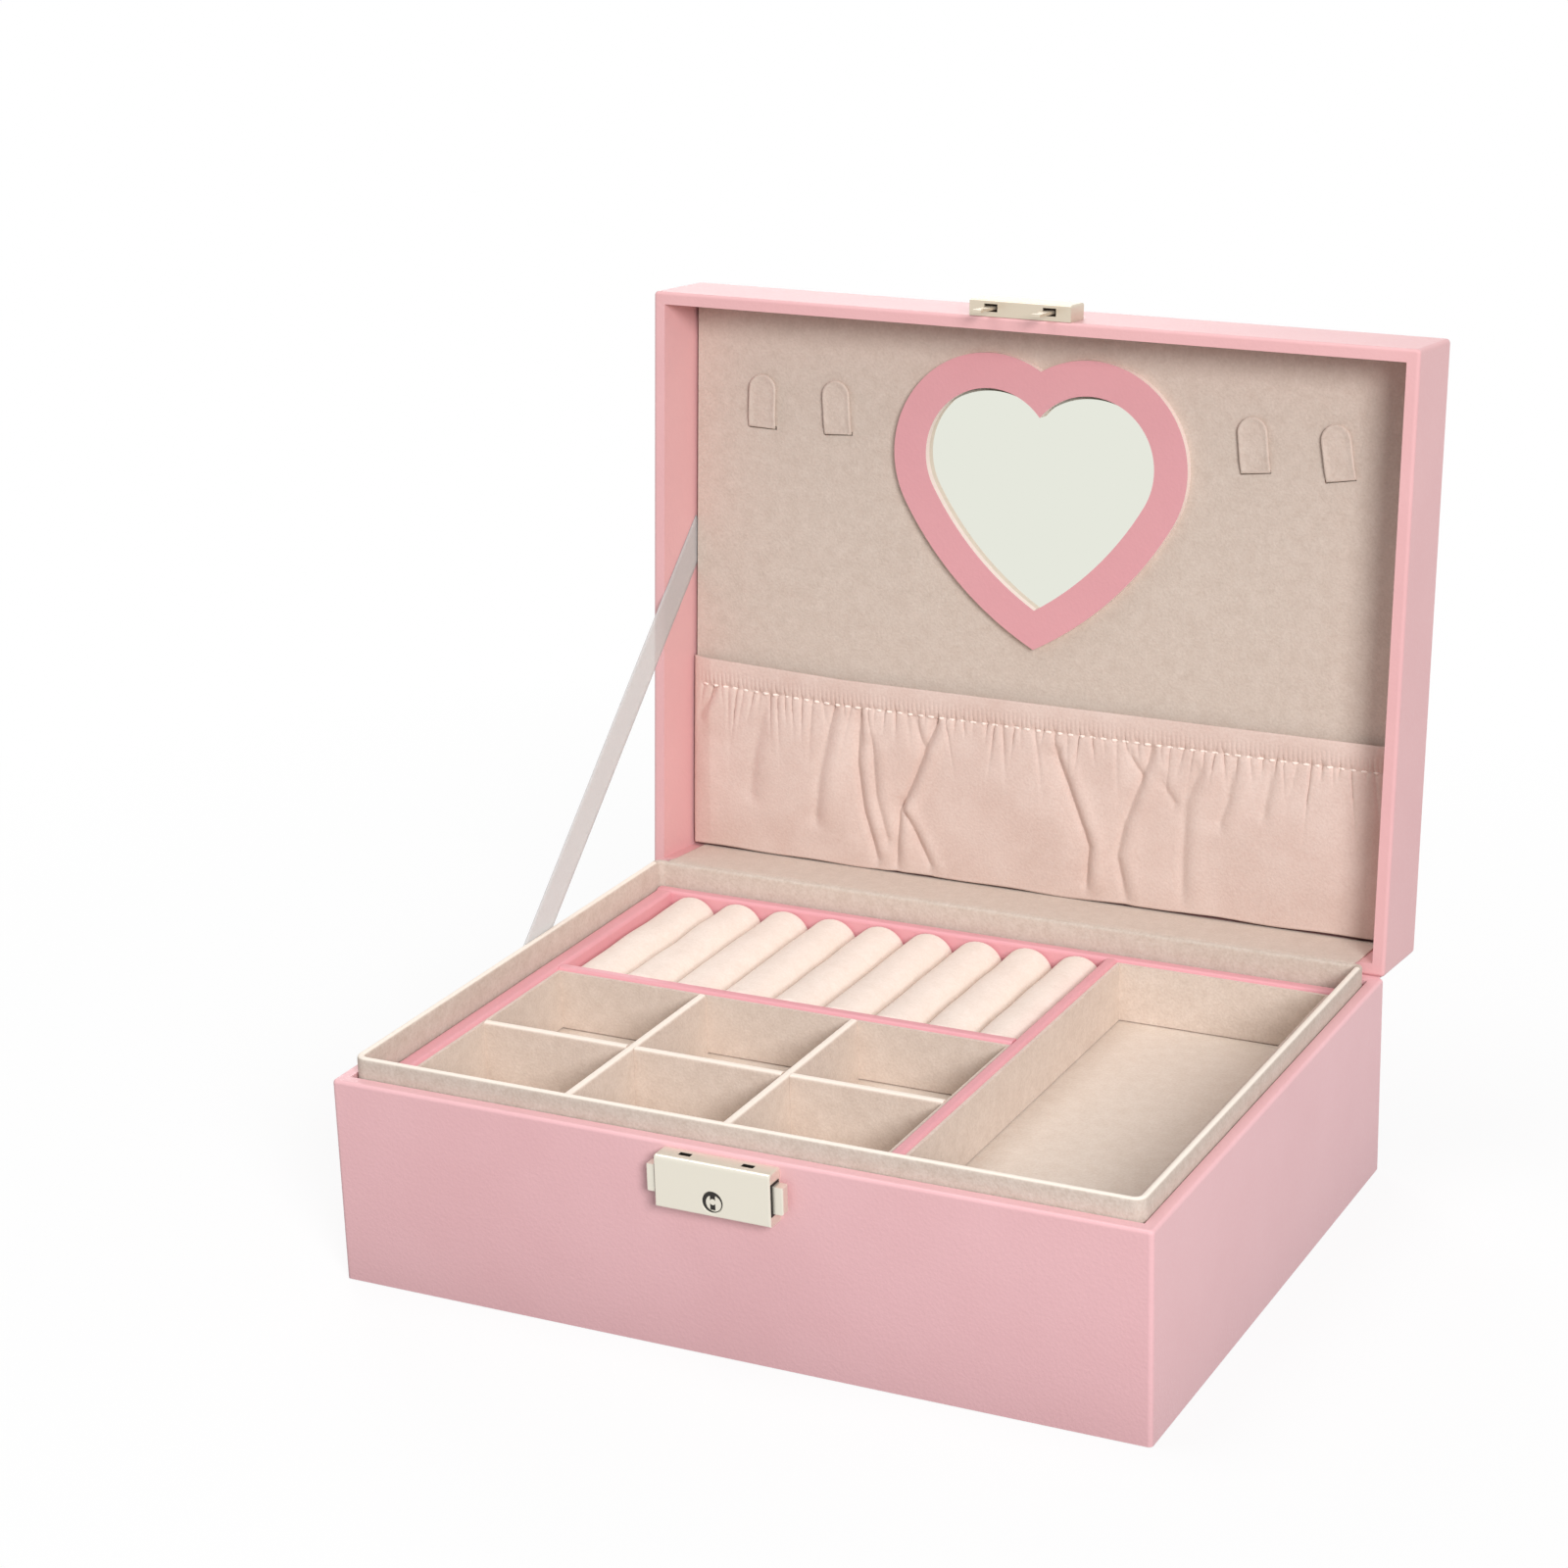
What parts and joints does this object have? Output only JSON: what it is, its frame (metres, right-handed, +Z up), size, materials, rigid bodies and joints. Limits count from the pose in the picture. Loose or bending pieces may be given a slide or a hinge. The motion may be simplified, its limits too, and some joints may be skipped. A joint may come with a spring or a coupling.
{
  "type": "jewellery case",
  "caption": "Hinged leather jewellery case with a lift-out divided tray, ring rolls, a heart mirror, a gathered pocket and a push-button lock; shown open.",
  "frame": {"origin": "centre of the flat underside of the base", "axes": "+Z up, -Y towards the front with the lock, +X to the right of someone facing the front; the lid is stored open"},
  "size_m": [0.23, 0.221, 0.2343],
  "materials": {
    "case_leather": "fine-grained pink synthetic leather, satin",
    "underside_leather": "fine-grained pink synthetic leather sheet",
    "frame_leather": "pink synthetic leather with pale cut edges",
    "tab_velvet": "beige velvet over card",
    "tray_leather": "pink synthetic leather, satin",
    "board": "grey-brown board, hidden",
    "rim_velvet": "cream velvet",
    "floor_velvet": "cream velvet",
    "section_velvet": "cream velvet",
    "lid_velvet": "beige velvet",
    "roll_velvet": "cream velvet over foam",
    "foam": "foam pad, hidden",
    "pocket_satin": "peach satin cloth, gathered",
    "ribbon_satin": "white satin ribbon",
    "mirror": "clear mirror",
    "lock_metal": "pale nickel finish, satin"
  },
  "bodies": {
    "base": {"base_back_board": "board", "base_bottom_board": "board", "base_floor_pad": "floor_velvet", "base_front_board": "board", "base_leather_wrap": "case_leather", "base_left_board": "board", "base_right_board": "board", "hinge_leather": "case_leather", "hinge_lining": "lid_velvet", "liner_rim_back": "rim_velvet", "liner_rim_front": "rim_velvet", "liner_rim_left": "rim_velvet", "liner_rim_right": "rim_velvet", "lock_case": "lock_metal", "ribbon_stay": "ribbon_satin", "tray_ledge_left": "rim_velvet", "tray_ledge_right": "rim_velvet", "underside_sheet": "underside_leather"},
    "tray": {"column_divider_left": "section_velvet", "column_divider_right": "section_velvet", "cross_divider": "section_velvet", "long_section_lining": "section_velvet", "ring_roll_1": "roll_velvet", "ring_roll_2": "roll_velvet", "ring_roll_3": "roll_velvet", "ring_roll_4": "roll_velvet", "ring_roll_5": "roll_velvet", "ring_roll_6": "roll_velvet", "ring_roll_7": "roll_velvet", "ring_roll_8": "roll_velvet", "ring_roll_9": "roll_velvet", "six_section_lining": "section_velvet", "tray_back_wall": "tray_leather", "tray_floor_board": "board", "tray_floor_lining": "floor_velvet", "tray_front_wall": "tray_leather", "tray_left_wall": "tray_leather", "tray_long_wall": "tray_leather", "tray_right_wall": "tray_leather", "tray_ring_wall": "tray_leather"},
    "lid": {"heart_frame": "frame_leather", "heart_mirror": "mirror", "hook_tab_1": "tab_velvet", "hook_tab_2": "tab_velvet", "hook_tab_3": "tab_velvet", "hook_tab_4": "tab_velvet", "lid_back_board": "board", "lid_front_board": "board", "lid_leather_wrap": "case_leather", "lid_left_board": "board", "lid_lining_board": "lid_velvet", "lid_padding": "foam", "lid_right_board": "board", "lid_top_board": "board", "pocket": "pocket_satin", "strike": "lock_metal"},
    "button_left": {"lock_button_left": "lock_metal"},
    "button_right": {"lock_button_right": "lock_metal"},
    "key_barrel": {"key_barrel": "lock_metal"}
  },
  "joints": [
    {"name": "lid_hinge", "type": "hinge", "parent": "base", "child": "lid", "pos_m": [0, 0.0865, 0.0575], "axis": [1, 0, 0], "range_deg": [0, 95], "deforming": ["hinge_leather", "hinge_lining", "ribbon_stay"]},
    {"name": "tray_lift", "type": "slide", "parent": "base", "child": "tray", "axis": [0, 0, 1], "range_m": [0, 0.06]},
    {"name": "lock_button_left", "type": "slide", "parent": "base", "child": "button_left", "axis": [1, 0, 0], "range_m": [0, 0.0016], "stiffness_N_per_m": 200},
    {"name": "lock_button_right", "type": "slide", "parent": "base", "child": "button_right", "axis": [-1, 0, 0], "range_m": [0, 0.0016], "stiffness_N_per_m": 200},
    {"name": "key_turn", "type": "hinge", "parent": "base", "child": "key_barrel", "pos_m": [0, -0.0865, 0.0461], "axis": [0, 1, 0], "range_deg": [0, 90]}
  ]
}
